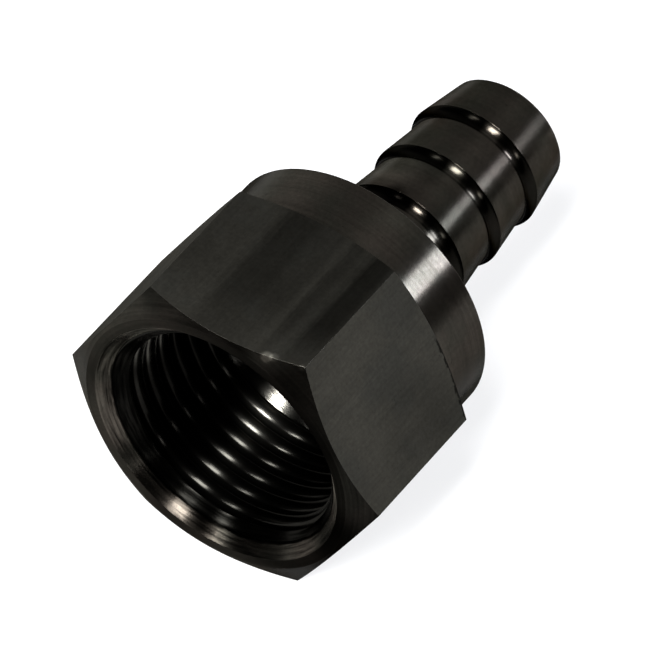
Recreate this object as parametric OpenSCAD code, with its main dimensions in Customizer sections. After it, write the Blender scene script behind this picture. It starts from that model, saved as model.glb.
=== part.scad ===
/* Swivel hose barb: a hexagon nut with a female pipe thread turns on a barbed hose tail. */
/* Millimetres. The axis is X, the hose end is +X, and the origin is at the foot of the mouth's countersink. */

/* [Hexagon nut] */
// Width across the flats of the hexagon
hex_af = 25.4; // [24.8:0.1:30]
// Length of the nut, from its mouth to its rear face
nut_len = 20.2; // [19.6:0.1:26]
// Distance from the mouth to where the hexagon's corners end
hex_len = 13.7; // [8:0.1:16]
// Angle of the turned chamfer on the front corners, from the mouth's plane
front_chamfer_deg = 30; // [15:1:40]
// Angle of the turned chamfer on the rear corners, from the mouth's plane
rear_chamfer_deg = 24; // [10:1:40]
// Step from the flats in to the flat ring round the mouth
mouth_step = 0.3; // [0.1:0.05:0.5]
// Step from the flats down to the round collar
collar_step = 0.45; // [0.1:0.05:0.8]
// Chamfer on the collar's rear edge
collar_edge = 0.2; // [0.1:0.05:0.6]

/* [Female thread] */
// Diameter at the roots of the female thread
thread_d = 21.2; // [18.5:0.1:21.6]
// Length of the female thread, from the foot of the countersink
thread_len = 12.6; // [8:0.1:13]
// Depth of the mouth's 45 degree countersink
countersink = 0.95; // [0.4:0.05:1.1]
// Depth of the run-out groove behind the thread, below its roots
relief_step = 0.3; // [0.1:0.05:0.5]
// Thickness of the nut's rear wall, which holds the tail's head
rear_wall = 3.4; // [2.6:0.1:4]

/* [Hose tail] */
// Diameter of the bore that the fluid runs through
flow_d = 8.8; // [5:0.1:9.4]
// Diameter of the head that the nut draws forward
head_d = 18; // [16:0.1:18.4]
// Thickness of the head
head_t = 2; // [1.4:0.1:2.4]
// Diameter of the 45 degree seat cone where it leaves the head
seat_d = 15.2; // [13:0.1:15.8]
// Length of the seat cone
seat_len = 1.1; // [0.5:0.1:2.4]
// Radial and axial running clearance between the nut and the tail
run_gap = 0.05; // [0.03:0.01:0.1]
// Distance from the nut's rear face to the first barb's edge
first_barb = 5.95; // [4:0.05:12]
// Number of barbs
barb_count = 3; // [1:1:6]
// Distance from one barb's edge to the next
barb_pitch = 5.35; // [3.5:0.05:8]
// Diameter over the barbs' edges
barb_d = 12.3; // [12:0.1:13]
// Height of each barb's step
barb_step = 0.55; // [0.3:0.05:0.8]
// Length of the hollow that each step is turned with
step_len = 0.85; // [0.8:0.05:1.2]
// Length from the last barb's edge to the tip
tip_len = 4.9; // [3:0.1:8]
// Drop in radius from the last barb's edge to the tip
tip_drop = 0.8; // [0.3:0.05:1]
// How far the neck stands over the barbs, so that they pass through the nut
neck_step = 0.2; // [0.1:0.05:0.4]
// Chamfer on the small edges of the tail
tail_edge = 0.3; // [0.1:0.05:0.4]

/* [Retaining ring] */
// Diameter of the ring's round wire
wire_d = 1; // [0.8:0.05:1.1]
// Angle that the ring is open over, so that it can be squeezed in
ring_open_deg = 36; // [30:1:60]

/* [Hidden] */
$fn = 96;
// Overshoot of a cut past the face that it leaves
past = 1;
// Straight pieces in the curve of each barb's step
arc_steps = 8;
// Play between the retaining ring and the groove in the nut that it springs into
ring_seat = 0.02;
// How far the neck runs on behind the nut's rear face
neck_past = 0.4;

corner_r = hex_af / 2 / cos(30);
ring_r = hex_af / 2 - mouth_step;
collar_r = hex_af / 2 - collar_step;
thread_r = thread_d / 2;
relief_r = thread_r + relief_step;
barb_r = barb_d / 2;
root_r = barb_r - barb_step;
tip_r = barb_r - tip_drop;
neck_r = barb_r + neck_step;
hole_r = neck_r + run_gap;
flow_r = flow_d / 2;
nose_r = seat_d / 2 - seat_len;

x_mouth = -countersink;
x_rear = x_mouth + nut_len;
x_cavity = x_rear - rear_wall;
x_ring = x_rear - rear_wall / 2;
x_head_rear = x_cavity - run_gap;
x_head_front = x_head_rear - head_t;
x_nose = x_head_front - seat_len;
x_shank = x_rear + neck_past + neck_r - root_r;
x_first = x_rear + first_barb;
x_last = x_first + (barb_count - 1) * barb_pitch;
x_tip = x_last + tip_len;

// Axial place of a chamfer cone at radius r, where it meets the hexagon's corners at x
function front_cone(r) = x_mouth + (r - ring_r) * tan(front_chamfer_deg);
function rear_cone(r) = x_mouth + hex_len + (corner_r - r) * tan(rear_chamfer_deg);

// Radius of the hollow curve that falls from a barb's edge to the root, and the points along it
hollow_r = (step_len * step_len + barb_step * barb_step) / (2 * barb_step);
hollow_deg = asin(step_len / hollow_r);
function hollow(x) = [for (i = [0:arc_steps])
    let (a = hollow_deg * i / arc_steps)
    [root_r + hollow_r * (1 - cos(a)), x - step_len + hollow_r * sin(a)]];

// Turns an outline of [radius, axial place] points about the X axis
module turned(points) {
    rotate([0, 90, 0]) rotate_extrude() polygon(points);
}

// Hexagon bar with a flat on top and below
module hex_bar() {
    translate([x_mouth - past, 0, 0])
        rotate([0, 90, 0])
            rotate([0, 0, 30])
                cylinder(r = corner_r, h = nut_len + 2 * past, $fn = 6);
}

// Outside of the nut as the lathe leaves it: front chamfer, rear chamfer and collar
module nut_blank() {
    over_r = corner_r + past;
    turned([
        [0, x_mouth],
        [ring_r, x_mouth],
        [over_r, front_cone(over_r)],
        [over_r, rear_cone(over_r)],
        [collar_r, rear_cone(collar_r)],
        [collar_r, x_rear - collar_edge],
        [collar_r - collar_edge, x_rear],
        [0, x_rear]
    ]);
}

// Everything bored out of the nut: countersink, thread, run-out groove, and the hole for the tail's neck
module nut_bore() {
    turned([
        [0, x_mouth - past],
        [thread_r + countersink, x_mouth - past],
        [thread_r + countersink, x_mouth],
        [thread_r, 0],
        [thread_r, thread_len],
        [relief_r, thread_len + relief_step],
        [relief_r, x_cavity],
        [hole_r, x_cavity],
        [hole_r, x_rear - collar_edge],
        [hole_r + collar_edge, x_rear],
        [hole_r + collar_edge, x_rear + past],
        [0, x_rear + past]
    ]);
}

// Ring of round section, of wire radius r, where the retaining ring lies
module wire_ring(r, open_deg = 0) {
    translate([x_ring, 0, 0])
        rotate([0, 90, 0])
            rotate([0, 0, open_deg / 2])
                rotate_extrude(angle = 360 - open_deg)
                    translate([hole_r, 0])
                        circle(r = r, $fn = 48);
}

module swivel_nut() {
    color("dimgray")
        difference() {
            intersection() {
                nut_blank();
                hex_bar();
            }
            nut_bore();
            wire_ring(wire_d / 2 + ring_seat);
        }
}

// Outline of the tail: nose, seat cone, head, neck with the ring's groove, shank, barbs, tip and flow bore
module barb_tail() {
    groove = wire_d / 2 + run_gap;
    groove_r = neck_r - wire_d - run_gap;
    barbs = [for (i = [0:barb_count - 1]) each hollow(x_first + i * barb_pitch)];
    color("dimgray")
        turned(concat(
            [
                [flow_r + tail_edge, x_nose],
                [nose_r, x_nose],
                [seat_d / 2, x_head_front],
                [head_d / 2 - tail_edge, x_head_front],
                [head_d / 2, x_head_front + tail_edge],
                [head_d / 2, x_head_rear - tail_edge],
                [head_d / 2 - tail_edge, x_head_rear],
                [neck_r, x_head_rear],
                [neck_r, x_ring - groove],
                [groove_r, x_ring - groove],
                [groove_r, x_ring + groove],
                [neck_r, x_ring + groove],
                [neck_r, x_rear + neck_past],
                [root_r, x_shank]
            ],
            barbs,
            [
                [tip_r, x_tip - tail_edge],
                [tip_r - tail_edge, x_tip],
                [flow_r + tail_edge, x_tip],
                [flow_r, x_tip - tail_edge],
                [flow_r, x_nose + tail_edge]
            ]
        ));
}

module retaining_ring() {
    color("silver")
        wire_ring(wire_d / 2, ring_open_deg);
}

swivel_nut();
barb_tail();
retaining_ring();
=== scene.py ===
"""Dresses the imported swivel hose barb: dark stainless nut, barbed tail and ring in a pale studio."""
import logging
import math
from dataclasses import dataclass
from enum import Enum

import bmesh
import bpy
import numpy as np
from mathutils import Matrix, Vector


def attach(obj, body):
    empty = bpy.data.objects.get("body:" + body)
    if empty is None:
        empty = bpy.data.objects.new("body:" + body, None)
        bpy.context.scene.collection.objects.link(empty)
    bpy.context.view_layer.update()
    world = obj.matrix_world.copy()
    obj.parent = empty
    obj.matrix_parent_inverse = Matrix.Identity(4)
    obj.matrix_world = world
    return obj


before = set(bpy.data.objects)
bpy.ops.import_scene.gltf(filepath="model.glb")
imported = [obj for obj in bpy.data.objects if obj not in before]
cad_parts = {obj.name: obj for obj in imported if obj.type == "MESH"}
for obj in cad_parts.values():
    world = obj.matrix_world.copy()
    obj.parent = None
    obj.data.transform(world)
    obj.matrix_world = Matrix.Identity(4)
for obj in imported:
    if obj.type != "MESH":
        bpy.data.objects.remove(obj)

logging.basicConfig(level=logging.INFO, format="%(name)s: %(message)s")
log = logging.getLogger("swivel hose barb")

MM = 0.001
FLOOR_Z = -12.7 * MM
STUDIO_CENTRE = Vector((0.010, 0.0, 0.0))
WHITE = (1.0, 1.0, 1.0, 1.0)
# Painted shade at grazing rims: between these two facing values the base colour is darkened to the last tone
# below and the metallic falls to 0.
RIM_START = 0.60
RIM_END = 0.82
RIM_METAL = 0.0
RIM_SHADE = 0.55
TURNING_HALF = 0.2
STREAK_HALF = 0.15
GRAIN_HALF = 0.2
STAIN_HALF = 0.15
STAIN_SPAN = (0.3, 0.7)
STAIN_DEPTH = 0.7
MIX_SOCKETS = {"FLOAT": (2, 3, 0), "RGBA": (6, 7, 2)}

Socket = bpy.types.NodeSocket
Node = bpy.types.Node
Pair = tuple[float, float]
Triple = tuple[float, float, float]
Tones = tuple[Pair, ...]
Patches = tuple[tuple[Triple, float, float, float], ...]


class Effect(Enum):
    """Shader node groups that the finishes place, each with values of its own."""

    TURNING = "turning marks"
    STREAKS = "drawn streaks"
    GRIME = "grime and specks"
    CONE = "countersink marks and shade"


class NodeBoard:
    """Adds and joins nodes in one node tree."""

    def __init__(self, tree: bpy.types.NodeTree) -> None:
        """Keeps the node tree of a material, a world or a group."""
        self.tree = tree

    def add(self, kind: str, **settings: object) -> Node:
        """Adds a node.

        Args:
            kind: The node's type name in Blender.
            settings: Properties of the node, by name.

        Returns:
            The new node.
        """
        node = self.tree.nodes.new(kind)
        for name, value in settings.items():
            setattr(node, name, value)
        return node

    def put(self, socket: Socket, value: object) -> None:
        """Links an output to a socket, or sets a plain value on it.

        Args:
            socket: The input that is fed.
            value: An output socket, or a number or sequence.
        """
        if isinstance(value, Socket):
            self.tree.links.new(value, socket)
        else:
            socket.default_value = value

    def calc(self, kind: str, *values: object) -> Socket:
        """Does arithmetic on numbers.

        Args:
            kind: The operation, such as ADD or MULTIPLY.
            values: Outputs or numbers.

        Returns:
            The answer's socket.
        """
        node = self.add("ShaderNodeMath", operation=kind)
        for socket, value in zip(node.inputs, values):
            self.put(socket, value)
        return node.outputs[0]

    def vector(self, kind: str, *values: object) -> Socket:
        """Does arithmetic on vectors.

        Args:
            kind: The operation, such as CROSS_PRODUCT.
            values: Outputs or triples.

        Returns:
            The answer's vector socket.
        """
        node = self.add("ShaderNodeVectorMath", operation=kind)
        for socket, value in zip(node.inputs, values):
            self.put(socket, value)
        return node.outputs["Vector"]

    def scaled(self, vector: object, factor: object) -> Socket:
        """Multiplies a vector by a number.

        Args:
            vector: The vector's output.
            factor: The number or its output.

        Returns:
            The scaled vector's socket.
        """
        node = self.add("ShaderNodeVectorMath", operation="SCALE")
        self.put(node.inputs[0], vector)
        self.put(node.inputs["Scale"], factor)
        return node.outputs["Vector"]

    def masked(self, tone: object, mask: object) -> Socket:
        """Keeps a tone where a mask is 1, and gives 1 where it is 0."""
        return self.calc("MULTIPLY_ADD", self.calc("SUBTRACT", tone, 1.0), mask, 1.0)

    def ramp(self, value: object, low: float, high: float, out_low: float = 0.0, out_high: float = 1.0,
             smooth: bool = True) -> Socket:
        """Maps a range of numbers to another one, and holds it beyond.

        Args:
            value: The number's output.
            low: Where the range starts.
            high: Where the range ends.
            out_low: The answer at the start.
            out_high: The answer at the end.
            smooth: Whether the change eases in and out.

        Returns:
            The answer's socket.
        """
        node = self.add("ShaderNodeMapRange", interpolation_type="SMOOTHSTEP" if smooth else "LINEAR")
        for socket, number in zip(node.inputs, (value, low, high, out_low, out_high)):
            self.put(socket, number)
        return node.outputs["Result"]

    def spread(self, noise: object, half: float, low: float, high: float) -> Socket:
        """Spreads the middle of a noise, half to both sides of 0.5, evenly from low to high."""
        return self.ramp(noise, 0.5 - half, 0.5 + half, low, high, smooth=False)

    def stops(self, value: object, stops: Tones) -> Socket:
        """Maps a number from 0 to 1 through grey stops.

        Args:
            value: The number's output.
            stops: Pairs of a place and a grey value.

        Returns:
            The answer's socket.
        """
        node = self.add("ShaderNodeValToRGB")
        elements = node.color_ramp.elements
        while len(elements) < len(stops):
            elements.new(0.5)
        for element, (place, grey) in zip(elements, stops):
            element.position = place
            element.color = (grey, grey, grey, 1.0)
        self.put(node.inputs["Fac"], value)
        return node.outputs["Color"]

    def levels(self, place: object, reach: float, tones: Tones) -> Socket:
        """Maps a place to a tone through stops, for tones from 0 to 2.

        Args:
            place: The place's output, in metres.
            reach: How far the stops go to both sides, in millimetres.
            tones: Pairs of a place in millimetres and its tone.

        Returns:
            A socket with the tone.
        """
        share = self.ramp(place, -reach * MM, reach * MM, smooth=False)
        halved = self.stops(share, tuple(((at + reach) / (2.0 * reach), tone / 2.0) for at, tone in tones))
        return self.calc("MULTIPLY", halved, 2.0)

    def noise(self, vector: object, scale: float, detail: float = 2.0, rough: float = 0.5,
              w: object = None) -> Socket:
        """Makes smooth noise from 0 to 1.

        Args:
            vector: Where it is read.
            scale: How fine it is.
            detail: How many finer layers it has.
            rough: How strong the finer layers are.
            w: A fourth coordinate, where one is wanted.

        Returns:
            The noise's socket.
        """
        node = self.add("ShaderNodeTexNoise", noise_dimensions="3D" if w is None else "4D")
        self.put(node.inputs["Vector"], vector)
        self.put(node.inputs["Scale"], scale)
        self.put(node.inputs["Detail"], detail)
        self.put(node.inputs["Roughness"], rough)
        if w is not None:
            self.put(node.inputs["W"], w)
        return node.outputs["Fac"]

    def blend(self, factor: object, first: object, second: object, kind: str = "RGBA") -> Socket:
        """Blends two colours or two numbers.

        Args:
            factor: How much of the second one shows.
            first: The first one.
            second: The second one.
            kind: RGBA for colours, or FLOAT for numbers.

        Returns:
            The blend's socket.
        """
        node = self.add("ShaderNodeMix", data_type=kind)
        at_first, at_second, answer = MIX_SOCKETS[kind]
        self.put(node.inputs[0], factor)
        self.put(node.inputs[at_first], first)
        self.put(node.inputs[at_second], second)
        return node.outputs[answer]

    def where(self) -> Socket:
        """Gives the place on the surface."""
        return self.add("ShaderNodeTexCoord").outputs["Object"]

    def facing(self) -> Socket:
        """Gives the direction that the surface faces."""
        return self.add("ShaderNodeNewGeometry").outputs["Normal"]

    def split(self, vector: Socket) -> Node:
        """Splits a vector into its parts along X, Y and Z.

        Args:
            vector: The vector's output.

        Returns:
            The node with the parts.
        """
        parts = self.add("ShaderNodeSeparateXYZ")
        self.put(parts.inputs[0], vector)
        return parts

    def off_axis(self, parts: Node) -> Socket:
        """Measures how far a place, split into its parts, is from the fitting's axis."""
        squares = [self.calc("MULTIPLY", parts.outputs[name], parts.outputs[name]) for name in ("Y", "Z")]
        return self.calc("SQRT", self.calc("ADD", *squares))

    def off_line(self, value: object, middle: object) -> Socket:
        """Measures how far a number is from another one, never below 0."""
        return self.calc("ABSOLUTE", self.calc("SUBTRACT", value, middle))

    def over_marks(self) -> Socket:
        """Finds the direction across the turned marks, in which they stretch the gloss."""
        around = self.vector("NORMALIZE", self.vector("CROSS_PRODUCT", (1.0, 0.0, 0.0), self.where()))
        return self.vector("CROSS_PRODUCT", around, self.facing())

    def rim(self, at_rim: float) -> Socket:
        """Gives 1 where the surface is seen face on, and at_rim where it is seen edge on, for the painted
        shade at grazing rims.
        """
        turned_away = self.add("ShaderNodeLayerWeight").outputs["Facing"]
        return self.ramp(turned_away, RIM_START, RIM_END, 1.0, at_rim)

    def mottle(self, grime: Node, depth: float) -> Socket:
        """Makes small lighter and darker spots out of stains and grain.

        Args:
            grime: The node with the stain and the grain.
            depth: How far the tone goes up and down.

        Returns:
            A socket with the tone, which is about 1 on average.
        """
        shallow = STAIN_DEPTH * depth
        grain = self.spread(grime.outputs["Grain"], GRAIN_HALF, 1.0 - depth, 1.0 + depth)
        stain = self.spread(grime.outputs["Stain"], STAIN_HALF, 1.0 + shallow, 1.0 - shallow)
        return self.calc("MULTIPLY", grain, stain)

    def weighed(self, fine: Socket, broad: Socket, share: float) -> Socket:
        """Adds a fine and a broad noise, of which the fine one counts for the given share."""
        rest = self.calc("MULTIPLY", broad, 1.0 - share)
        return self.calc("ADD", self.calc("MULTIPLY", fine, share), rest)

    def patch(self, centre: Triple, inner: float, outer: float, tone: float) -> Socket:
        """Makes a round patch of painted light, where its tone is over 1, or painted shade, where it is
        under 1.

        Args:
            centre: Where it is, in millimetres.
            inner: How far its full tone reaches, in millimetres.
            outer: Where it has faded away, in millimetres.
            tone: Its tone in the middle.

        Returns:
            A socket with the tone, which is 1 away from the patch.
        """
        away = self.add("ShaderNodeVectorMath", operation="DISTANCE")
        self.put(away.inputs[0], self.where())
        away.inputs[1].default_value = Vector(centre) * MM
        return self.ramp(away.outputs["Value"], inner * MM, outer * MM, tone, 1.0)

    def patched(self, color: Socket, light_and_shade_spots: Patches) -> Socket:
        """Lays round spots of painted light and painted shade over a colour.

        Args:
            color: The colour's output.
            light_and_shade_spots: Each patch's centre, inner and outer reach and tone.

        Returns:
            A socket with the colour.
        """
        for centre, inner, outer, tone in light_and_shade_spots:
            color = self.scaled(color, self.patch(centre, inner, outer, tone))
        return color


class EffectShelf:
    """Builds each shared node group once and places it in materials."""

    radius_share: float = 0.6
    turning_wander: float = 160.0
    coarse_steps: float = 0.17
    fine_in_height: float = 0.7
    fine_in_tone: float = 0.45
    broad_streaks: float = 0.12
    fine_in_streaks: float = 0.5
    speck_scale: float = 0.75
    speck_seed: float = 3.0
    speck_span: Pair = (0.74, 0.80)
    cone_edge: Pair = (0.02, 0.05)
    # Painted shade in the crease at the foot of the mouth's cone.
    foot_shade_place: float = -0.02
    foot_shade_edge: Pair = (0.05, 0.13)
    foot_shade_tone: float = 0.12
    foot_shade_ragged: float = 0.25
    foot_shade_wander: float = 700.0
    ring_steps: float = 5.2
    ring_wander: float = 260.0
    ring_half: float = 0.14
    ring_tones: Pair = (0.15, 1.35)

    def __init__(self) -> None:
        """Starts with no groups made."""
        self.made: dict[Effect, bpy.types.NodeTree] = {}

    def start(self, effect: Effect, inputs: list[tuple[str, float]], outputs: list[str]) -> NodeBoard:
        """Makes an empty group with its number sockets.

        Args:
            effect: Which group it is.
            inputs: Names and first values of its inputs.
            outputs: Names of its outputs.

        Returns:
            A board for the group's tree.
        """
        tree = bpy.data.node_groups.new(effect.value, "ShaderNodeTree")
        for name, value in inputs:
            socket = tree.interface.new_socket(name=name, in_out="INPUT", socket_type="NodeSocketFloat")
            socket.default_value = value
        for name in outputs:
            tree.interface.new_socket(name=name, in_out="OUTPUT", socket_type="NodeSocketFloat")
        self.made[effect] = tree
        return NodeBoard(tree)

    def place(self, board: NodeBoard, effect: Effect, **values: object) -> Node:
        """Puts a group into a material.

        Args:
            board: The material's board.
            effect: Which group to place.
            values: Inputs by name, with _ for a space.

        Returns:
            The group's node.
        """
        if effect not in self.made:
            builders = {
                Effect.TURNING: self.build_turning,
                Effect.STREAKS: self.build_streaks,
                Effect.GRIME: self.build_grime,
                Effect.CONE: self.build_cone,
            }
            builders[effect]()
        node = board.add("ShaderNodeGroup")
        node.node_tree = self.made[effect]
        for name, value in values.items():
            board.put(node.inputs[name.replace("_", " ")], value)
        return node

    def build_turning(self) -> None:
        """Makes the circular marks that a lathe tool leaves, the same way all round."""
        board = self.start(
            Effect.TURNING,
            [("Marks Per Millimetre", 9.0), ("Unevenness", 0.5), ("Seed", 0.0)],
            ["Height", "Tone"],
        )
        given = board.add("NodeGroupInput")
        where = board.where()
        parts = board.split(where)
        along = board.calc("MULTIPLY_ADD", board.off_axis(parts), self.radius_share, parts.outputs["X"])
        per_metre = board.calc("MULTIPLY", given.outputs["Marks Per Millimetre"], 1.0 / MM)
        steps = board.calc("MULTIPLY", along, per_metre)
        shifted = board.calc("ADD", steps, given.outputs["Seed"])
        wander = board.calc("MULTIPLY", given.outputs["Unevenness"], self.turning_wander)
        drift = board.scaled(where, wander)
        fine = board.noise(drift, 1.0, rough=0.6, w=shifted)
        coarse = board.noise(drift, 0.6, detail=1.0, w=board.calc("MULTIPLY", shifted, self.coarse_steps))
        out = board.add("NodeGroupOutput")
        board.put(out.inputs["Height"], board.weighed(fine, coarse, self.fine_in_height))
        board.put(out.inputs["Tone"], board.weighed(fine, coarse, self.fine_in_tone))

    def build_streaks(self) -> None:
        """Makes the fine lines along X that drawing leaves on a bar."""
        board = self.start(
            Effect.STREAKS,
            [("Lines Per Millimetre", 6.0), ("Stretch", 0.05), ("Seed", 0.0)],
            ["Height", "Tone"],
        )
        given = board.add("NodeGroupInput")
        squeeze = board.add("ShaderNodeCombineXYZ")
        board.put(squeeze.inputs["X"], given.outputs["Stretch"])
        squeeze.inputs["Y"].default_value = 1.0
        squeeze.inputs["Z"].default_value = 1.0
        drawn = board.vector("MULTIPLY", board.where(), squeeze.outputs["Vector"])
        lines = board.scaled(drawn, board.calc("MULTIPLY", given.outputs["Lines Per Millimetre"], 1.0 / MM))
        fine = board.noise(lines, 1.0, detail=3.0, rough=0.6, w=given.outputs["Seed"])
        broad = board.noise(lines, self.broad_streaks, w=given.outputs["Seed"])
        out = board.add("NodeGroupOutput")
        board.put(out.inputs["Height"], fine)
        board.put(out.inputs["Tone"], board.weighed(fine, broad, self.fine_in_streaks))

    def build_grime(self) -> None:
        """Makes soft stains, fine grain and small dark specks."""
        board = self.start(
            Effect.GRIME,
            [("Stain Scale", 180.0), ("Grain Scale", 3200.0), ("Seed", 0.0)],
            ["Stain", "Grain", "Specks"],
        )
        given = board.add("NodeGroupInput")
        where = board.where()
        seed = given.outputs["Seed"]
        stain = board.noise(where, given.outputs["Stain Scale"], detail=4.0, rough=0.55, w=seed)
        grain = board.noise(where, given.outputs["Grain Scale"], rough=0.6, w=seed)
        scale = board.calc("MULTIPLY", given.outputs["Grain Scale"], self.speck_scale)
        other_seed = board.calc("ADD", seed, self.speck_seed)
        spots = board.noise(where, scale, detail=1.0, rough=0.4, w=other_seed)
        out = board.add("NodeGroupOutput")
        board.put(out.inputs["Stain"], stain)
        board.put(out.inputs["Grain"], grain)
        board.put(out.inputs["Specks"], board.ramp(spots, *self.speck_span))

    def build_cone(self) -> None:
        """Makes the rings on the mouth's cone, where X and the radius have one sum, and painted shade along
        the crease at its foot.
        """
        board = self.start(
            Effect.CONE,
            [("Radius At Foot", 0.0106)],
            ["Tone", "Mask"],
        )
        given = board.add("NodeGroupInput")
        where = board.where()
        parts = board.split(where)
        across = board.off_axis(parts)
        foot = given.outputs["Radius At Foot"]
        off_cone = board.off_line(board.calc("ADD", parts.outputs["X"], across), foot)
        near, far = self.cone_edge
        mask = board.ramp(off_cone, near * MM, far * MM, 1.0, 0.0)
        drift = board.calc("SUBTRACT", board.noise(where, self.foot_shade_wander), 0.5)
        from_foot = board.calc("SUBTRACT", across, foot)
        ragged = board.calc("MULTIPLY_ADD", drift, self.foot_shade_ragged * MM, from_foot)
        off_foot_shade = board.off_line(ragged, self.foot_shade_place * MM)
        near, far = self.foot_shade_edge
        # Painted shade along the crease at the cone's foot.
        foot_shade = board.ramp(off_foot_shade, near * MM, far * MM, self.foot_shade_tone, 1.0)
        steps = board.calc("MULTIPLY", across, self.ring_steps / MM)
        rings = board.noise(board.scaled(where, self.ring_wander), 1.0, rough=0.6, w=steps)
        tone = board.calc("MULTIPLY", foot_shade, board.spread(rings, self.ring_half, *self.ring_tones))
        out = board.add("NodeGroupOutput")
        board.put(out.inputs["Tone"], board.masked(tone, mask))
        board.put(out.inputs["Mask"], mask)


@dataclass(frozen=True)
class TurnedFinish:
    """Stainless steel as a lathe leaves it: fine marks about the axis and gloss stretched over them, with
    painted light and shade laid on where given.
    """

    name: str
    color: Triple = (0.043, 0.0372, 0.0310)
    stained: Triple = (0.0372, 0.0358, 0.0292)
    stain_span: Pair = (0.35, 0.65)
    roughness: float = 0.27
    rough_shares: Pair = (0.9, 1.12)
    anisotropy: float = 0.85
    edge_tint: float = 0.5
    marks_per_mm: float = 9.0
    mark_depth: float = 0.0016
    form_cut: float = 1.0
    form_cut_facing: Pair = (-0.30, -0.06)
    # Painted shade: the colour falls to this tone on surfaces that face along -X, such as the barbs' steps.
    facing_shade: float = 1.0
    facing_shade_span: Pair = (-0.18, -0.01)
    # Painted shade where the finish lies on the mouth's cone.
    cone_shade: float = 1.0
    tone_reach: float = 6.5
    hollow_ends: tuple[float, ...] = ()
    hollow_len: float = 1.0
    hollow_fade: float = 0.1
    # Painted shade and painted glints across the barbs' hollows, by place along Y in millimetres.
    hollow_light_and_shade: Tones = (
        (-6.2, 1.0), (-5.6, 0.8), (-5.1, 0.35), (-4.5, 0.25), (-4.2, 1.5), (-3.5, 1.5), (-3.1, 0.5),
        (-2.6, 0.6), (-2.3, 1.8), (-1.3, 1.8), (-0.8, 0.24), (2.0, 0.30), (6.2, 0.45),
    )
    # Painted light and shade by place along Y, in millimetres.
    side_light_and_shade: Tones = ()
    # Round spots of painted light and painted shade: centre, inner and outer reach in millimetres, and tone.
    light_and_shade_spots: Patches = ()
    soft_edge: float = 0.06
    mottle: float = 0.14
    tone_low: float = 0.78
    tone_high: float = 1.22
    speck_tone: float = 0.55
    seed: float = 1.0

    def steel(self, board: NodeBoard, turning: Node, grime: Node) -> Socket:
        """Gives the steel's colour with its turning marks and stains.

        Args:
            board: The material's board.
            turning: The node with the turning marks.
            grime: The node with the stains and the grain.

        Returns:
            The colour's socket.
        """
        tone = board.spread(turning.outputs["Tone"], TURNING_HALF, self.tone_low, self.tone_high)
        stain = board.ramp(grime.outputs["Stain"], *self.stain_span)
        base = board.blend(stain, (*self.color, 1.0), (*self.stained, 1.0))
        return board.scaled(base, board.calc("MULTIPLY", tone, board.mottle(grime, self.mottle)))

    def gloss(self, board: NodeBoard, grime: Node) -> Socket:
        """Gives the roughness, a little uneven from the stains."""
        low, high = (self.roughness * share for share in self.rough_shares)
        return board.ramp(grime.outputs["Stain"], *STAIN_SPAN, low, high)

    def paint_hollow_light_and_shade(self, board: NodeBoard, along: Socket, parts: Node, color: Socket) -> Socket:
        """Lays painted shade and painted glints on the hollow that each barb's step is turned with, by how
        it faces and its place along Y.

        Args:
            board: The material's board.
            along: How far the surface faces along X.
            parts: The node with the place's parts.
            color: The colour's output.

        Returns:
            A socket with the shaded colour.
        """
        for end in self.hollow_ends:
            start = end - self.hollow_len
            before = board.ramp(parts.outputs["X"], (start - self.hollow_fade) * MM, start * MM)
            inside = board.calc("MULTIPLY", before, board.calc("LESS_THAN", parts.outputs["X"], end * MM))
            deep = board.ramp(along, *self.facing_shade_span, 1.0, self.facing_shade)
            tone = board.levels(parts.outputs["Y"], self.tone_reach, self.hollow_light_and_shade)
            color = board.scaled(color, board.masked(board.calc("MULTIPLY", deep, tone), inside))
        return color

    def join(self, board: NodeBoard, color: Socket, rough: Socket, height: Socket, soft_edge: float) -> None:
        """Joins the material's shader, with painted shade at the grazing rim (base colour darkened and metal
        turned off where seen edge on), the stretched gloss and soft edges.

        Args:
            board: The material's board.
            color: The steel's colour seen face on.
            rough: Its roughness.
            height: The height of its marks, from 0 to 1.
            soft_edge: How far its edges are rounded, in millimetres.
        """
        shader = board.tree.nodes["Principled BSDF"]
        # Painted shade: the base colour is darkened where the surface is seen edge on.
        board.put(shader.inputs["Base Color"], board.scaled(color, board.rim(RIM_SHADE)))
        board.put(shader.inputs["Roughness"], rough)
        # Painted shade: the metallic falls to 0 where the surface is seen edge on, so its reflection fades
        # there.
        board.put(shader.inputs["Metallic"], board.rim(RIM_METAL))
        shader.inputs["Specular IOR Level"].default_value = 0.0
        shader.inputs["Anisotropic"].default_value = self.anisotropy
        shader.inputs["Specular Tint"].default_value = (self.edge_tint, self.edge_tint, self.edge_tint, 1.0)
        board.put(shader.inputs["Tangent"], board.over_marks())
        edge = board.add("ShaderNodeBevel", samples=6)
        edge.inputs["Radius"].default_value = soft_edge * MM
        bump = board.add("ShaderNodeBump")
        bump.inputs["Distance"].default_value = self.mark_depth * MM
        board.put(bump.inputs["Height"], height)
        board.put(bump.inputs["Normal"], edge.outputs["Normal"])
        board.put(shader.inputs["Normal"], bump.outputs["Normal"])

    def make(self, shelf: EffectShelf) -> bpy.types.Material:
        """Builds the material.

        Args:
            shelf: The shared node groups.

        Returns:
            The finished material.
        """
        material, board = start_material(self.name)
        turning = shelf.place(board, Effect.TURNING, Marks_Per_Millimetre=self.marks_per_mm, Seed=self.seed)
        grime = shelf.place(board, Effect.GRIME, Seed=self.seed)
        steel = self.steel(board, turning, grime)
        color = board.blend(grime.outputs["Specks"], steel, board.scaled(steel, self.speck_tone))
        along = board.split(board.facing()).outputs["X"]
        # Painted shade on faces turned along -X.
        color = board.scaled(color, board.ramp(along, *self.facing_shade_span, self.facing_shade, 1.0))
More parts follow.
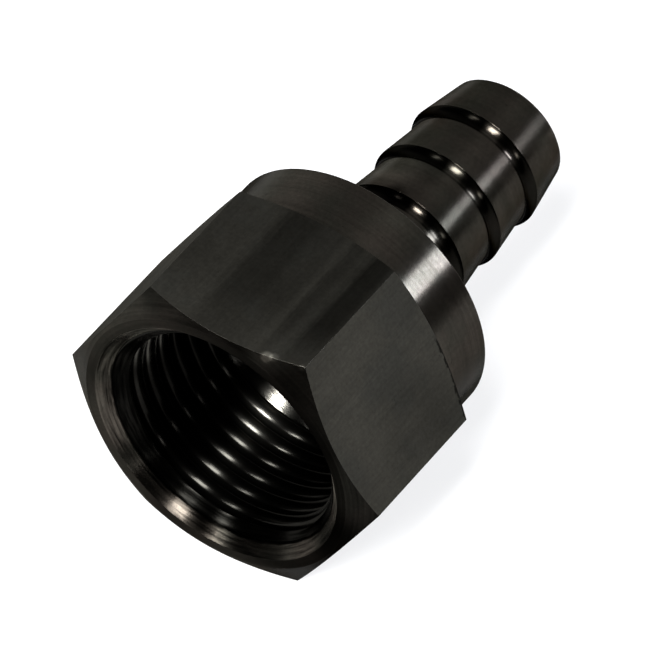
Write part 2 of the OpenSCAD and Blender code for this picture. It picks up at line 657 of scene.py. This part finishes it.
        # Painted shade where the finish lies on the mouth's cone, with the cone's rings and the shade along
        # its foot.
        if self.cone_shade < 1.0:
            cone = shelf.place(board, Effect.CONE)
            cone_shaded = board.masked(self.cone_shade, cone.outputs["Mask"])
            color = board.scaled(color, board.calc("MULTIPLY", cone.outputs["Tone"], cone_shaded))
        color = board.patched(color, self.light_and_shade_spots)
        parts = board.split(board.where())
        color = self.paint_hollow_light_and_shade(board, along, parts, color)
        # Painted light and shade by place along Y.
        if self.side_light_and_shade:
            color = board.scaled(color, board.levels(parts.outputs["Y"], self.tone_reach, self.side_light_and_shade))
        burnished = board.ramp(along, *self.form_cut_facing, self.form_cut, 1.0)
        rough = board.calc("MULTIPLY", self.gloss(board, grime), burnished)
        self.join(board, color, rough, turning.outputs["Height"], self.soft_edge)
        return material


@dataclass(frozen=True)
class HexagonFinish:
    """The nut's two surfaces in one material: drawn flats and everything that the lathe has cut."""

    name: str = "stainless hexagon nut"
    turned: TurnedFinish = TurnedFinish(
        "stainless turned nut", roughness=0.225, marks_per_mm=5.0, tone_low=0.70, tone_high=1.30,
    )
    flat_color: Triple = (0.0475, 0.0454, 0.0383)
    flat_cool: Triple = (0.0432, 0.0422, 0.0365)
    cool_span: Pair = (0.45, 0.62)
    flat_rough: Pair = (0.34, 0.42)
    flat_uneven: float = 0.14
    flat_distance: float = 12.69
    lines_per_mm: float = 5.0
    lines_height: float = 0.8
    lines_seed: float = 4.0
    speck_tone: float = 0.6
    # Tones across the top flat by place along Y: partly drawn bands, partly painted shade that darkens the
    # top flat.
    bands: Tones = (
        (-7.3, 0.42), (-6.8, 0.24), (-5.6, 0.22), (-5.1, 0.48), (-4.5, 0.56), (-3.9, 0.42), (-3.4, 0.46),
        (-2.8, 0.72), (-2.2, 0.52), (-0.6, 0.50), (0.2, 0.42), (2.2, 0.40), (2.9, 0.56), (3.6, 0.80),
        (7.0, 0.74),
    )
    band_reach: float = 8.0
    band_uneven: float = 1.3
    band_span: Pair = (-0.5, 5.0)
    band_start: float = 0.45
    corner_edge: float = 0.03
    # Painted light and painted shade on the flats: the three small bright spots by the mouth's corner are
    # painted highlights; the others lighten or darken broad areas.
    light_and_shade_spots: Patches = (
        ((6.0, -11.0, 6.35), 4.0, 9.0, 1.08), ((8.0, -12.5, 3.75), 1.0, 6.5, 0.76),
        ((12.0, 3.5, 12.7), 1.0, 6.0, 0.84), ((6.0, 11.0, 6.35), 5.0, 12.0, 0.82),
        ((11.5, -13.5, 2.0), 1.0, 5.0, 0.80), ((2.0, -14.0, 1.0), 2.0, 6.0, 0.92),
        ((-0.42, -4.20, 12.62), 0.25, 0.62, 4.0), ((-0.15, -4.75, 12.68), 0.15, 0.50, 2.6),
        ((0.20, -7.10, 12.62), 0.10, 0.38, 2.6),
    )
    # Painted light and painted shade on the turned surfaces: two spots lighten, the others darken the
    # mouth's front and the collar.
    cut_light_and_shade_spots: Patches = (
        ((-0.2, -12.8, 2.0), 1.5, 5.0, 2.6), ((-0.3, -11.0, -1.5), 0.8, 3.0, 0.45),
        ((-0.3, -12.2, -4.5), 1.0, 4.0, 0.60), ((0.0, 8.0, -8.0), 1.0, 9.0, 0.80),
        ((0.3, 13.6, 0.5), 1.5, 4.5, 0.65), ((-0.5, 3.5, -10.9), 1.5, 4.5, 0.50),
        ((17.0, 5.0, 11.1), 2.0, 5.0, 1.32), ((17.0, -7.7, 9.6), 1.0, 3.0, 0.86),
        ((17.0, 11.0, 5.4), 2.0, 6.5, 0.42), ((16.5, -11.4, -4.4), 1.5, 5.5, 0.60),
        ((18.3, -12.15, 1.8), 1.5, 4.0, 0.83), ((0.0, -8.0, -12.0), 2.0, 6.0, 0.75),
        ((0.0, 6.6, 12.6), 0.8, 2.5, 0.65), ((-0.9, 10.5, 3.0), 1.0, 7.0, 0.88),
    )
    rear_corner: Pair = (12.75, 14.665)
    rear_chamfer_deg: float = 24.0
    burr_side: Pair = (-11.1, -10.8)
    burr_width: Pair = (0.12, 0.26)
    burr_ragged: float = 1.0
    burr_scale: float = 2200.0
    burr_tone: float = 0.25
    # Painted shade on the turned front, stronger to one side and on the mouth's ring, and on the turned
    # surfaces toward -Y; the lines in it are the turning marks.
    front_facing: Pair = (-0.80, -0.76)
    front_shade_lean: float = -0.5
    front_shade_span: Pair = (-8.0, 12.0)
    front_shade_tones: Pair = (0.12, 0.76)
    front_lines_half: float = 0.15
    front_lines_tones: Pair = (0.7, 1.3)
    ring_facing: Pair = (-0.95, -0.88)
    ring_tone: float = 0.65
    outside_span: Pair = (-12.0, -5.0)
    outside_tone: float = 0.74

    def flat_mask(self, board: NodeBoard, parts: Node) -> Socket:
        """Finds the hexagon's flats by their distance from the axis.

        Args:
            board: The material's board.
            parts: The node with the place's parts.

        Returns:
            A socket that is 1 on a flat.
        """
        reach = board.calc("ABSOLUTE", parts.outputs["Z"])
        for angle in (60.0, -60.0):
            across = board.calc("MULTIPLY", parts.outputs["Z"], math.cos(math.radians(angle)))
            leaning = board.calc("MULTIPLY_ADD", parts.outputs["Y"], math.sin(math.radians(angle)), across)
            reach = board.calc("MAXIMUM", reach, board.calc("ABSOLUTE", leaning))
        return board.calc("GREATER_THAN", reach, self.flat_distance * MM)

    def burr(self, board: NodeBoard, parts: Node) -> Socket:
        """Makes the ragged dark line along the flats' rear edge on the camera's side.

        Args:
            board: The material's board.
            parts: The node with the place's parts.

        Returns:
            A socket with the tone, which is 1 away from the edge.
        """
        corner_x, corner_radius = self.rear_corner
        slope = math.tan(math.radians(self.rear_chamfer_deg))
        inward = board.calc("SUBTRACT", corner_radius * MM, board.off_axis(parts))
        cone = board.calc("MULTIPLY_ADD", inward, slope, corner_x * MM)
        ragged = board.calc("SUBTRACT", board.noise(board.where(), self.burr_scale), 0.5)
        before = board.calc("SUBTRACT", cone, parts.outputs["X"])
        short = board.calc("MULTIPLY_ADD", ragged, self.burr_ragged * MM, before)
        narrow, wide = self.burr_width
        line = board.ramp(short, narrow * MM, wide * MM, self.burr_tone, 1.0)
        low, high = self.burr_side
        return board.masked(line, board.ramp(parts.outputs["Y"], low * MM, high * MM, 1.0, 0.0))

    def flat_bands_and_shade(self, board: NodeBoard, parts: Node, lines: Socket) -> Socket:
        """Makes the broad bands on the top flat and the one below: partly marks that drawing left, partly
        painted shade that keeps the top flat darker.

        Args:
            board: The material's board.
            parts: The node with the place's parts.
            lines: The drawn lines, which make the bands' edges uneven.

        Returns:
            A socket with the bands' tone, which is 1 on the other flats.
        """
        drift = board.calc("SUBTRACT", lines, 0.5)
        uneven = board.calc("MULTIPLY_ADD", drift, self.band_uneven * MM, parts.outputs["Y"])
        tone = board.levels(uneven, self.band_reach, self.bands)
        distance = board.calc("ABSOLUTE", parts.outputs["Z"])
        level = board.calc("GREATER_THAN", distance, self.flat_distance * MM)
        start, full = self.band_span
        strength = board.ramp(parts.outputs["X"], start * MM, full * MM, self.band_start, 1.0)
        return board.masked(tone, board.calc("MULTIPLY", level, strength))

    def front_and_side_shade(self, board: NodeBoard, parts: Node, turning: Node) -> Socket:
        """Paints shade on the turned front of the nut, more on one side of the mouth than the other and on
        the mouth's flat ring, with the turning lines showing in it; it also paints shade on the turned
        surfaces toward -Y.

        Args:
            board: The material's board.
            parts: The node with the place's parts.
            turning: The node with the turning marks.

        Returns:
            A socket with the tone, which is 1 away from the front.
        """
        along = board.split(board.facing()).outputs["X"]
        in_front = board.ramp(along, *self.front_facing, 1.0, 0.0)
        side = board.calc("MULTIPLY_ADD", parts.outputs["Z"], self.front_shade_lean, parts.outputs["Y"])
        low, high = self.front_shade_span
        # Painted shade that grows toward one side of the mouth.
        stain = board.ramp(side, low * MM, high * MM, *self.front_shade_tones, smooth=False)
        ring = board.ramp(along, *self.ring_facing, self.ring_tone, 1.0)
        lines = board.spread(turning.outputs["Tone"], self.front_lines_half, *self.front_lines_tones)
        tone = board.calc("MULTIPLY", board.calc("MULTIPLY", stain, ring), lines)
        low, high = self.outside_span
        outside = board.ramp(parts.outputs["Y"], low * MM, high * MM, self.outside_tone, 1.0)
        return board.calc("MULTIPLY", board.masked(tone, in_front), outside)

    def make(self, shelf: EffectShelf) -> bpy.types.Material:
        """Builds the material.

        Args:
            shelf: The shared node groups.

        Returns:
            The finished material.
        """
        cut = self.turned
        material, board = start_material(self.name)
        parts = board.split(board.where())
        on_flat = self.flat_mask(board, parts)
        turning = shelf.place(board, Effect.TURNING, Marks_Per_Millimetre=cut.marks_per_mm, Seed=cut.seed)
        streaks = shelf.place(board, Effect.STREAKS, Lines_Per_Millimetre=self.lines_per_mm,
                              Seed=self.lines_seed)
        grime = shelf.place(board, Effect.GRIME, Seed=cut.seed)
        stain = board.ramp(grime.outputs["Stain"], *self.cool_span)
        flat_base = board.blend(stain, (*self.flat_color, 1.0), (*self.flat_cool, 1.0))
        dark, light = 1.0 - self.flat_uneven, 1.0 + self.flat_uneven
        flat_tone = board.spread(streaks.outputs["Tone"], STREAK_HALF, dark, light)
        grain = board.spread(grime.outputs["Grain"], GRAIN_HALF, dark, light)
        # Partly drawn bands, partly painted shade on the top flat.
        bands = self.flat_bands_and_shade(board, parts, streaks.outputs["Tone"])
        flat_marks_and_shade = board.calc("MULTIPLY", board.calc("MULTIPLY", grain, bands), self.burr(board, parts))
        flat_color = board.scaled(board.scaled(flat_base, flat_tone), flat_marks_and_shade)
        cone = shelf.place(board, Effect.CONE)
        # Painted shade on the turned surfaces, with their turning lines and the cone's rings.
        cut_marks_and_shade = board.calc("MULTIPLY", self.front_and_side_shade(board, parts, turning), cone.outputs["Tone"])
        cut_color = board.scaled(cut.steel(board, turning, grime), cut_marks_and_shade)
        color = board.blend(on_flat, board.patched(cut_color, self.cut_light_and_shade_spots), flat_color)
        color = board.patched(color, self.light_and_shade_spots)
        color = board.blend(grime.outputs["Specks"], color, board.scaled(color, self.speck_tone))
        flat_rough = board.ramp(grime.outputs["Stain"], *STAIN_SPAN, *self.flat_rough)
        rough = board.blend(on_flat, cut.gloss(board, grime), flat_rough, "FLOAT")
        flat_height = board.calc("MULTIPLY", streaks.outputs["Height"], self.lines_height)
        height = board.blend(on_flat, turning.outputs["Height"], flat_height, "FLOAT")
        cut.join(board, color, rough, height, self.corner_edge)
        return material


@dataclass(frozen=True)
class ThreadRidge:
    """The female thread's ridge, a right-hand helix that stands on the nut's plain bore."""

    pitch: float = 1.814
    wall_radius: float = 10.6
    crest_radius: float = 9.55
    relief_radius: float = 10.9
    thread_end: float = 12.6
    crest_at: float = 2.25
    crest_angle: float = -72.0
    first_turn: float = -1.6
    last_turn: float = 6.6
    columns_per_turn: int = 150
    dome_radius: float = 0.85
    flank_run: float = 0.30
    section_points: int = 33
    base_half: float = 0.86
    buried: float = 0.04
    first_x: float = -0.25
    rounding: int = 81
    fade_turns: float = 1.1
    end_spread: float = 0.5
    slope_turn: float = 5.70
    slope_end_turn: float = 6.40
    slope_from: float = -0.42
    slope_to: float = 0.80
    slope_deg: float = 37.3
    slope_rise: float = 0.15
    slope_fall: float = 0.20
    section_reach: float = 1.2
    section_samples: int = 2401
    foot_gap: float = 0.02
    hidden_over: float = 0.1
    weld: float = 0.0005

    def section(self) -> list[tuple[float, float]]:
        """Gives the ridge's section.

        Returns:
            Pairs of the offset along the axis and the share of the full height.
        """
        offsets = np.linspace(-self.base_half, self.base_half, self.section_points)
        fine = np.linspace(-self.section_reach, self.section_reach, self.section_samples)
        height = self.wall_radius - self.crest_radius
        dome = 1.0 - (self.dome_radius - np.sqrt(np.maximum(0.0, self.dome_radius**2 - fine**2))) / height
        flank = (self.base_half - self.foot_gap - np.abs(fine)) / self.flank_run
        plain = np.clip(np.minimum(dome, flank), 0.0, 1.0)
        window = np.ones(self.rounding) / self.rounding
        smooth = np.convolve(plain, window, mode="same")
        return [(float(u), float(np.interp(u, fine, smooth))) for u in offsets]

    def point(self, turn: float, offset: float, share: float) -> Triple:
        """Places one point of the ridge.

        Args:
            turn: Turns along the helix from the crest that the mouth shows whole.
            offset: Distance along the axis from the ridge's middle.
            share: Share of the ridge's full height.

        Returns:
            The point in metres.
        """
        angle = math.radians(self.crest_angle) + 2.0 * math.pi * turn
        middle = self.crest_at + self.pitch * turn
        fade = eased((self.last_turn - turn) / self.fade_turns)
        x = middle + offset * (1.0 + self.end_spread * (1.0 - fade))
        wall = min(self.relief_radius, self.wall_radius + max(0.0, x - self.thread_end))
        height = (wall - self.crest_radius) * fade
        radius = wall + self.buried - (height + self.buried) * share if share > 0.0 else wall + self.buried
        radius += (self.slope_radius(offset, wall) - radius) * self.slope_share(turn)
        x = max(x, self.first_x)
        hidden = self.buried * min(1.0, max(0.0, -x / self.hidden_over))
        radius = max(radius, self.wall_radius - x + hidden)
        return x * MM, radius * math.cos(angle) * MM, radius * math.sin(angle) * MM

    def slope_share(self, turn: float) -> float:
        """Gives how far, from 0 to 1, the last turn has changed into one broad slope."""
        rise = eased((turn - self.slope_turn) / self.slope_rise)
        return rise * eased((self.slope_end_turn - turn) / self.slope_fall)

    def slope_radius(self, offset: float, wall: float) -> float:
        """Gives the radius of the broad slope that the last turn ends in.

        Args:
            offset: Distance along the axis from the ridge's middle.
            wall: Radius of the bore's wall there.

        Returns:
            The radius, a little more than the wall's where the slope has run into it.
        """
        steep = math.tan(math.radians(self.slope_deg))
        slope = self.wall_radius - (min(offset, self.slope_to) - self.slope_from) * steep
        top = self.wall_radius - (self.slope_to - self.slope_from) * steep
        back = max(0.0, offset - self.slope_to) / (self.base_half - self.slope_to)
        return min(wall + self.buried, slope + (wall + self.buried - top) * min(1.0, back))

    def build(self) -> bpy.types.Object:
        """Builds the ridge's mesh.

        Returns:
            The new object.
        """
        section = self.section()
        turns = np.arange(self.first_turn, self.last_turn + 1e-9, 1.0 / self.columns_per_turn)
        points = [self.point(float(turn), u, share) for turn in turns for u, share in section]
        across = len(section)
        starts = (column * across + row for column in range(len(turns) - 1) for row in range(across - 1))
        faces = [(at, at + 1, at + across + 1, at + across) for at in starts]
        mesh = bpy.data.meshes.new("thread_ridge")
        mesh.from_pydata(points, [], faces)
        shape = bmesh.new()
        shape.from_mesh(mesh)
        bmesh.ops.remove_doubles(shape, verts=shape.verts, dist=self.weld * MM)
        bmesh.ops.dissolve_degenerate(shape, edges=shape.edges, dist=self.weld * MM)
        shape.to_mesh(mesh)
        shape.free()
        mesh.validate()
        mesh.polygons.foreach_set("use_smooth", [True] * len(mesh.polygons))
        mesh.update()
        ridge = bpy.data.objects.new("thread_ridge", mesh)
        bpy.context.scene.collection.objects.link(ridge)
        return ridge


@dataclass
class Piece:
    """A piece of the pack with its finish."""

    node: str
    finish: TurnedFinish | HexagonFinish

    def build(self, shelf: EffectShelf) -> list[bpy.types.Object]:
        """Dresses the piece.

        Args:
            shelf: The shared node groups.

        Returns:
            The piece's objects.
        """
        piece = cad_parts[self.node]
        dress(piece, self.finish.make(shelf))
        return [piece]


@dataclass
class SwivelNut(Piece):
    """The hexagon nut with its threaded bore."""

    node: str = "swivel_nut"
    finish: HexagonFinish = HexagonFinish()
    thread: ThreadRidge = ThreadRidge()
    # Painted shade: the thread's steel is made far darker than the nut's turned steel, for the shade inside
    # the bore.
    shaded_thread_finish: TurnedFinish = TurnedFinish(
        "stainless cut thread", color=(0.0130, 0.0125, 0.0110), stained=(0.0113, 0.0110, 0.0097),
        marks_per_mm=5.0, mark_depth=0.03, roughness=0.2, cone_shade=0.45, seed=2.0,
        # Painted highlights deep in the bore and on part of the upper wall, and painted shade near the mouth
        # and low on the wall.
        light_and_shade_spots=(
            ((13.0, 3.1, -9.6), 1.0, 2.2, 3.2), ((10.6, 3.0, -9.3), 1.8, 4.0, 3.0),
            ((1.9, 2.9, -9.1), 0.8, 2.2, 0.60), ((0.2, 3.3, -10.1), 0.8, 2.2, 0.40),
            ((4.6, 9.3, 2.6), 2.8, 3.9, 4.2), ((0.2, 10.5, 0.0), 1.2, 3.5, 0.35),
            ((6.5, 7.6, -6.0), 4.0, 7.0, 0.30),
        ),
    )

    def build(self, shelf: EffectShelf) -> list[bpy.types.Object]:
        """Dresses the nut and cuts its thread.

        Args:
            shelf: The shared node groups.

        Returns:
            The nut's objects.
        """
        nut = super().build(shelf)
        ridge = self.thread.build()
        dress(ridge, self.shaded_thread_finish.make(shelf))
        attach(ridge, "nut")
        return [*nut, ridge]


@dataclass
class BarbTail(Piece):
    """The barbed hose tail that turns in the nut."""

    node: str = "barb_tail"
    finish: TurnedFinish = TurnedFinish(
        "stainless turned tail", color=(0.038, 0.0328, 0.0272), stained=(0.0328, 0.0316, 0.0256),
        edge_tint=0.44, marks_per_mm=7.0, form_cut=0.85, facing_shade=0.30, roughness=0.23, seed=3.0,
        hollow_ends=(25.2, 30.55, 35.9),
        # Painted highlight and painted shade on the barbs: one spot lightens a step, the others darken a
        # step and the barbs' lower side.
        light_and_shade_spots=(
            ((28.1, 2.3, 5.5), 1.2, 3.2, 1.6), ((24.9, 0.6, 5.7), 0.4, 1.4, 0.3),
            ((27.5, -5.3, -2.8), 1.0, 4.0, 0.60), ((32.8, -5.3, -2.8), 1.0, 4.0, 0.60),
            ((38.2, -5.3, -2.8), 1.0, 4.5, 0.60),
        ),
        # Painted light and shade by place along Y.
        side_light_and_shade=(
            (-6.3, 0.76), (-4.75, 0.74), (-4.45, 1.25), (-3.95, 1.3), (-3.4, 0.85), (-2.6, 1.0), (6.3, 1.0),
        ),
    )


@dataclass
class RetainingRing(Piece):
    """The open wire ring that keeps the nut on the tail."""

    node: str = "retaining_ring"
    finish: TurnedFinish = TurnedFinish(
        "spring wire", color=(0.085, 0.082, 0.076), stained=(0.07, 0.066, 0.06), roughness=0.3,
        marks_per_mm=5.0, seed=5.0,
    )


@dataclass(frozen=True)
class Softbox:
    """A rectangular studio lamp, hidden from the camera but seen in the metal."""

    name: str
    direction: Triple
    distance: float
    width: float
    height: float
    radiance: float
    color: Triple = (1.0, 1.0, 1.0)
    up: Triple = (1.0, 0.0, 0.0)

    def hang(self) -> None:
        """Hangs the lamp, facing the fitting."""
        lamp = bpy.data.lights.new(self.name, "AREA")
        lamp.shape = "RECTANGLE"
        lamp.size = self.width
        lamp.size_y = self.height
        lamp.color = self.color
        lamp.energy = self.radiance * math.pi * self.width * self.height
        hung = bpy.data.objects.new(self.name, lamp)
        bpy.context.scene.collection.objects.link(hung)
        back = Vector(self.direction).normalized()
        side = Vector(self.up).cross(back).normalized()
        top = back.cross(side)
        turn = Matrix((side, top, back)).transposed().to_4x4()
        hung.matrix_world = Matrix.Translation(STUDIO_CENTRE + back * self.distance) @ turn
        hung.visible_camera = False


@dataclass
class Studio:
    """Pale floor, plain sky, lamps and the camera."""

    camera_at: Triple = (-418.17, -275.625, 566.833)
    camera_right: Triple = (0.56115, -0.82731, 0.02601)
    camera_up: Triple = (0.60394, 0.43073, 0.67062)
    lens: float = 532.02
    sensor: float = 36.0
    clips: Pair = (0.01, 20.0)
    floor_reach: float = 3.0
    floor_grey: float = 0.82
    floor_glow: float = 0.72
    wall_tones: Tones = (
        (0.00, 0.83), (0.11, 0.72), (0.20, 0.52), (0.27, 0.43), (0.42, 0.37), (0.56, 0.43),
        (0.66, 0.46), (0.84, 0.40), (0.91, 0.26), (0.96, 0.20), (1.00, 0.30),
    )
    dim_side: Triple = (-0.94, -0.10, 0.33)
    dim_span: Pair = (0.12, 0.38)
    dim_tone: float = 0.10
    lamps: tuple[Softbox, ...] = (
        Softbox("key lamp", (0.50, -0.695, 0.516), 0.50, 0.105, 0.110, 60.0, (0.93, 0.98, 1.12)),
        Softbox("front strip", (-0.62, -0.12, 0.775), 0.60, 0.112, 0.420, 80.0),
        Softbox("side strip", (-0.64, 0.40, 0.655), 0.60, 0.055, 0.220, 52.0),
        Softbox("low lamp", (-0.60, -0.723, 0.343), 0.60, 0.060, 0.120, 14.0),
    )

    def place_camera(self) -> None:
        """Puts the camera where the photograph was taken from."""
        data = bpy.data.cameras.new("camera")
        data.lens = self.lens
        data.sensor_width = self.sensor
        data.clip_start, data.clip_end = self.clips
        camera = bpy.data.objects.new("camera", data)
        bpy.context.scene.collection.objects.link(camera)
        right = Vector(self.camera_right).normalized()
        back = right.cross(Vector(self.camera_up)).normalized()
        up = back.cross(right)
        turn = Matrix((right, up, back)).transposed().to_4x4()
        camera.matrix_world = Matrix.Translation(Vector(self.camera_at) * MM) @ turn
        bpy.context.scene.camera = camera

    def lay_floor(self) -> None:
        """Lays the floor that the fitting rests on."""
        reach = self.floor_reach
        mesh = bpy.data.meshes.new("floor")
        corners = [(x * reach, y * reach, FLOOR_Z) for x, y in ((-1, -1), (1, -1), (1, 1), (-1, 1))]
        mesh.from_pydata(corners, [], [(0, 1, 2, 3)])
        floor = bpy.data.objects.new("floor", mesh)
        bpy.context.scene.collection.objects.link(floor)
        material, board = start_material("pale floor")
        board.tree.nodes.remove(board.tree.nodes["Principled BSDF"])
        matt = board.add("ShaderNodeBsdfDiffuse")
        matt.inputs["Color"].default_value = (self.floor_grey, self.floor_grey, self.floor_grey, 1.0)
        white = board.add("ShaderNodeEmission")
        white.inputs["Color"].default_value = WHITE
        white.inputs["Strength"].default_value = 1.0
        path = board.add("ShaderNodeLightPath")
        mirrored = board.calc("MAXIMUM", path.outputs["Is Glossy Ray"], path.outputs["Is Transmission Ray"])
        seen = board.calc("MAXIMUM", path.outputs["Is Camera Ray"], mirrored)
        share = board.add("ShaderNodeMixShader")
        board.put(share.inputs["Fac"], board.calc("MULTIPLY", seen, self.floor_glow))
        board.put(share.inputs[1], matt.outputs["BSDF"])
        board.put(share.inputs[2], white.outputs["Emission"])
        board.put(board.tree.nodes["Material Output"].inputs["Surface"], share.outputs["Shader"])
        mesh.materials.append(material)

    def light_room(self) -> None:
        """Makes a pale room that is dimmer overhead and behind the camera."""
        world = bpy.data.worlds.new("pale room")
        world.use_nodes = True
        bpy.context.scene.world = world
        board = NodeBoard(world.node_tree)
        sky = world.node_tree.nodes["Background"]
        looking = board.add("ShaderNodeTexCoord").outputs["Generated"]
        parts = board.split(looking)
        turn = board.calc("DIVIDE", board.calc("ARCTAN2", parts.outputs["Z"], parts.outputs["Y"]), math.pi)
        walls = board.stops(turn, self.wall_tones)
        toward = board.add("ShaderNodeVectorMath", operation="DOT_PRODUCT")
        board.put(toward.inputs[0], looking)
        toward.inputs[1].default_value = Vector(self.dim_side).normalized()
        behind = board.ramp(toward.outputs["Value"], *self.dim_span, 1.0, self.dim_tone)
        board.put(sky.inputs["Strength"], board.calc("MULTIPLY", walls, behind))
        sky.inputs["Color"].default_value = WHITE
        for lamp in self.lamps:
            lamp.hang()


def start_material(name: str) -> tuple[bpy.types.Material, NodeBoard]:
    """Starts a material with nodes.

    Args:
        name: The material's name.

    Returns:
        The material and a board for its nodes.
    """
    material = bpy.data.materials.new(name)
    material.use_nodes = True
    return material, NodeBoard(material.node_tree)


def eased(share: float) -> float:
    """Holds a share from 0 to 1, and eases it in and out."""
    held = min(1.0, max(0.0, share))
    return held * held * (3.0 - 2.0 * held)


def dress(piece: bpy.types.Object, material: bpy.types.Material) -> None:
    """Gives every face of a piece one material.

    Args:
        piece: The object.
        material: Its finish.
    """
    slots = piece.data.materials
    if len(slots) == 0:
        slots.append(material)
    for index in range(len(slots)):
        slots[index] = material


def plain(corners: tuple[Vector, Vector]) -> list[list[float]]:
    """Turns a box's lowest and highest corner into plain lists of numbers."""
    return [[float(number) for number in corner] for corner in corners]


def main() -> None:
    """Builds the studio and the fitting, and reports each piece."""
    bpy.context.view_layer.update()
    bpy.context.scene.view_settings.view_transform = "Standard"
    studio = Studio()
    studio.place_camera()
    studio.lay_floor()
    studio.light_room()
    shelf = EffectShelf()
    for part in (SwivelNut(), BarbTail(), RetainingRing()):
        for piece in part.build(shelf):
            log.info("%s has %d faces", piece.name, len(piece.data.polygons))


if __name__ == "__main__":
    main()
